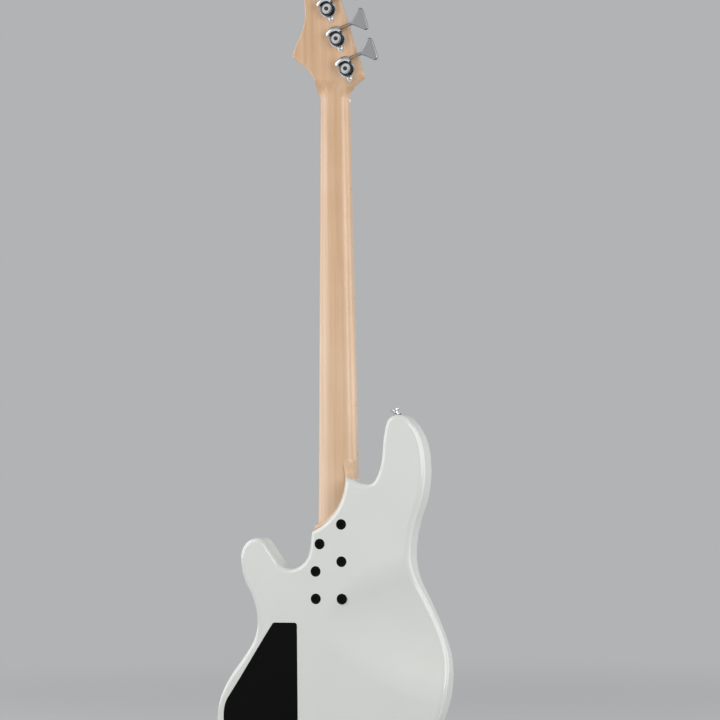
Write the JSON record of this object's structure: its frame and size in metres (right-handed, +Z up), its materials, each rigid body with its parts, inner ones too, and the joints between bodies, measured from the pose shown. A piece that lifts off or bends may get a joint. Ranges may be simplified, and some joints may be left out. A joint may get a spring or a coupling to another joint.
{
  "type": "electric bass guitar",
  "caption": "Solid-body electric bass guitar with a white contoured body, a bolted maple neck, geared chrome tuners, black soapbar pickups and a bridge with sliding saddles.",
  "frame": {"origin": "the seat of the end strap button on the body's tail, at half the body's thickness", "axes": "+Z runs up the neck to the headstock, +Y out of the back, -Y out of the strings' side, +X to the treble side"},
  "size_m": [0.3347, 0.064, 1.1841],
  "materials": {
    "white_lacquer": "alder under gloss white polyester",
    "maple": "satin clear coat",
    "bone": "polished",
    "steel": "nickel plated",
    "string_steel": "wound",
    "chrome": "polished plating",
    "black_metal": "black plating",
    "black_plastic": "satin",
    "brass": "turned",
    "copper": "enamelled wire",
    "capacitor_film": "moulded",
    "felt": "felt"
  },
  "bodies": {
    "instrument": {"body": "white_lacquer", "neck": "maple", "fingerboard": "maple", "frets": "steel", "nut": "bone", "position_markers": "black_plastic", "control_cover": "black_plastic", "neck_pickup_cover": "black_plastic", "bridge_pickup_cover": "black_plastic", "truss_rod": "steel", "pickup_screws": "steel", "bridge_screws": "steel", "tuner_screws": "steel", "strap_screws": "steel", "intonation_screws": "steel", "pot_nuts": "steel", "potentiometers": "steel", "neck_ferrules": "black_metal", "neck_screws": "black_metal", "cover_screws": "black_metal", "string_e": "string_steel", "string_a": "string_steel", "string_d": "string_steel", "string_g": "string_steel", "string_ball_ends": "brass", "output_jack": "brass", "bridge_plate": "chrome", "jack_plate": "chrome", "strap_buttons": "chrome", "tuner_bushings": "chrome", "tuner_base_1": "chrome", "tuner_base_2": "chrome", "tuner_base_3": "chrome", "tuner_base_4": "chrome", "pickup_coils": "copper", "tone_capacitor": "capacitor_film", "strap_felts": "felt"},
    "key_1": {"tuner_key_1": "chrome"},
    "post_1": {"tuner_post_1": "chrome", "tuner_gear_1": "chrome"},
    "bridge_saddle_1": {"saddle_1": "chrome"},
    "key_2": {"tuner_key_2": "chrome"},
    "post_2": {"tuner_post_2": "chrome", "tuner_gear_2": "chrome"},
    "bridge_saddle_2": {"saddle_2": "chrome"},
    "key_3": {"tuner_key_3": "chrome"},
    "post_3": {"tuner_post_3": "chrome", "tuner_gear_3": "chrome"},
    "bridge_saddle_3": {"saddle_3": "chrome"},
    "key_4": {"tuner_key_4": "chrome"},
    "post_4": {"tuner_post_4": "chrome", "tuner_gear_4": "chrome"},
    "bridge_saddle_4": {"saddle_4": "chrome"},
    "volume_control": {"knob_volume": "chrome", "pot_shaft_volume": "steel"},
    "balance_control": {"knob_balance": "chrome", "pot_shaft_balance": "steel"},
    "tone_control": {"knob_tone": "chrome", "pot_shaft_tone": "steel"}
  },
  "joints": [
    {"name": "key_turn_1", "type": "hinge", "parent": "instrument", "child": "key_1", "pos_m": [-0.02119, 0.0001, 1.01425], "axis": [-0.9553, 0, 0.2957], "continuous": true},
    {"name": "post_turn_1", "type": "hinge", "parent": "instrument", "child": "post_1", "pos_m": [-0.0248, -0.006, 1.0026], "axis": [0, 1, 0], "continuous": true},
    {"name": "key_turn_2", "type": "hinge", "parent": "instrument", "child": "key_2", "pos_m": [-0.00768, 0.0001, 1.05791], "axis": [-0.9553, 0, 0.2957], "continuous": true},
    {"name": "post_turn_2", "type": "hinge", "parent": "instrument", "child": "post_2", "pos_m": [-0.01129, -0.006, 1.04626], "axis": [0, 1, 0], "continuous": true},
    {"name": "key_turn_3", "type": "hinge", "parent": "instrument", "child": "key_3", "pos_m": [0.00584, 0.0001, 1.10157], "axis": [-0.9553, 0, 0.2957], "continuous": true},
    {"name": "post_turn_3", "type": "hinge", "parent": "instrument", "child": "post_3", "pos_m": [0.00223, -0.006, 1.08991], "axis": [0, 1, 0], "continuous": true},
    {"name": "key_turn_4", "type": "hinge", "parent": "instrument", "child": "key_4", "pos_m": [0.01935, 0.0001, 1.14522], "axis": [-0.9553, 0, 0.2957], "continuous": true},
    {"name": "post_turn_4", "type": "hinge", "parent": "instrument", "child": "post_4", "pos_m": [0.01574, -0.006, 1.13357], "axis": [0, 1, 0], "continuous": true},
    {"name": "volume_turn", "type": "hinge", "parent": "instrument", "child": "volume_control", "pos_m": [0.08373, -0.03, 0.17884], "axis": [0, 1, 0], "range_deg": [-145, 145]},
    {"name": "balance_turn", "type": "hinge", "parent": "instrument", "child": "balance_control", "pos_m": [0.10344, -0.03, 0.13825], "axis": [0, 1, 0], "range_deg": [-145, 145]},
    {"name": "tone_turn", "type": "hinge", "parent": "instrument", "child": "tone_control", "pos_m": [0.1122, -0.03, 0.09212], "axis": [0, 1, 0], "range_deg": [-145, 145]},
    {"name": "saddle_slide_1", "type": "slide", "parent": "instrument", "child": "bridge_saddle_1", "axis": [0, 0, 1], "range_m": [0, 0.006]},
    {"name": "saddle_slide_2", "type": "slide", "parent": "instrument", "child": "bridge_saddle_2", "axis": [0, 0, 1], "range_m": [0, 0.006]},
    {"name": "saddle_slide_3", "type": "slide", "parent": "instrument", "child": "bridge_saddle_3", "axis": [0, 0, 1], "range_m": [0, 0.006]},
    {"name": "saddle_slide_4", "type": "slide", "parent": "instrument", "child": "bridge_saddle_4", "axis": [0, 0, 1], "range_m": [0, 0.006]}
  ],
  "couplings": [
    {"joint": "post_turn_1", "follows": "key_turn_1", "ratio": 0.05},
    {"joint": "post_turn_2", "follows": "key_turn_2", "ratio": 0.05},
    {"joint": "post_turn_3", "follows": "key_turn_3", "ratio": 0.05},
    {"joint": "post_turn_4", "follows": "key_turn_4", "ratio": 0.05}
  ]
}
